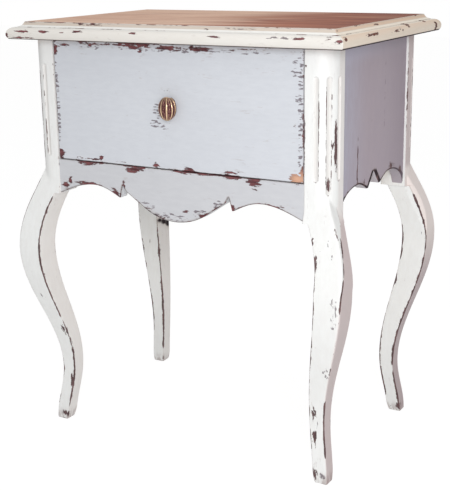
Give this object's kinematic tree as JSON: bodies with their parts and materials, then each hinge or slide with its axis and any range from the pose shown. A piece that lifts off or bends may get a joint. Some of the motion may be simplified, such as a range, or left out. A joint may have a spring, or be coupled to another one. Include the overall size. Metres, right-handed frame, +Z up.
{
  "type": "bedside table",
  "caption": "Bedside table on cabriole legs with fluted stiles, scalloped aprons, moulded top and a deep drawer on wooden runners.",
  "frame": {"origin": "on the floor under the middle of the top", "axes": "+X to the right of someone facing the drawer, the drawer opens towards -Y, +Z up"},
  "size_m": [0.6008, 0.4, 0.7],
  "materials": {
    "cream_paint": "distressed off-white paint, worn to red-brown wood on edges, eggshell",
    "blue_paint": "distressed pale blue-grey paint, worn to red-brown wood on edges, eggshell",
    "top_wood": "red-brown stained and waxed wood, satin",
    "raw_wood": "planed unfinished wood, matt",
    "plywood": "thin drawer bottom board, matt",
    "antique_brass": "antique brass, bright on the ribs, dark in the hollows",
    "screw_steel": "zinc-plated screws"
  },
  "bodies": {
    "carcass": {"leg_front_left": "cream_paint", "leg_front_right": "cream_paint", "leg_back_left": "cream_paint", "leg_back_right": "cream_paint", "front_apron": "blue_paint", "side_panel_left": "blue_paint", "side_panel_right": "blue_paint", "back_panel": "blue_paint", "top_panel": "top_wood", "edge_front": "cream_paint", "edge_back": "cream_paint", "edge_left": "cream_paint", "edge_right": "cream_paint", "kicker_left": "raw_wood", "kicker_right": "raw_wood", "runner_left": "raw_wood", "runner_right": "raw_wood", "guide_left": "raw_wood", "guide_right": "raw_wood", "drawer_stops": "raw_wood", "corner_blocks": "raw_wood", "top_screws": "screw_steel", "guide_screws": "screw_steel"},
    "drawer": {"drawer_front": "blue_paint", "drawer_side_left": "raw_wood", "drawer_side_right": "raw_wood", "drawer_back": "raw_wood", "drawer_bottom": "plywood", "bottom_screws": "screw_steel", "knob": "antique_brass", "knob_screw": "screw_steel"}
  },
  "joints": [
    {"name": "drawer_slide", "type": "slide", "parent": "carcass", "child": "drawer", "axis": [0, -1, 0], "range_m": [0, 0.22]}
  ]
}
